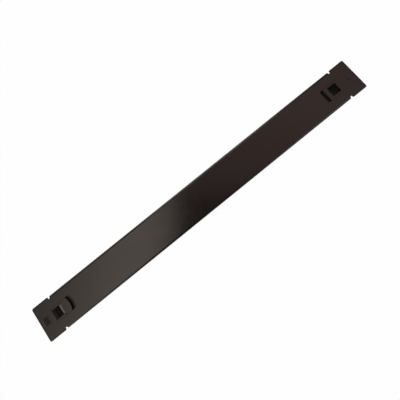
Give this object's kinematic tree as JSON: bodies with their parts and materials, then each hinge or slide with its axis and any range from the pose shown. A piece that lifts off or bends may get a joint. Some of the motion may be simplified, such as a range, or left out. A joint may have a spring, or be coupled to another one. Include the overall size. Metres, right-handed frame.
{
  "type": "rack blanking panel",
  "caption": "Flat black rack blanking panel folded from sheet steel, with shallow flanges, notched ears, lanced spring tongues with windows, a rail hook and a locating button.",
  "frame": {"origin": "middle of the panel, on the surface that its flanges rest on", "axes": "+X along the panel to the end with the button, +Y up the panel's height in a rack, +Z out of the front face"},
  "size_m": [0.4826, 0.0436, 0.011],
  "materials": {
    "black_coat": "satin powder coat"
  },
  "bodies": {
    "root": {"panel": "black_coat"}
  },
  "joints": []
}
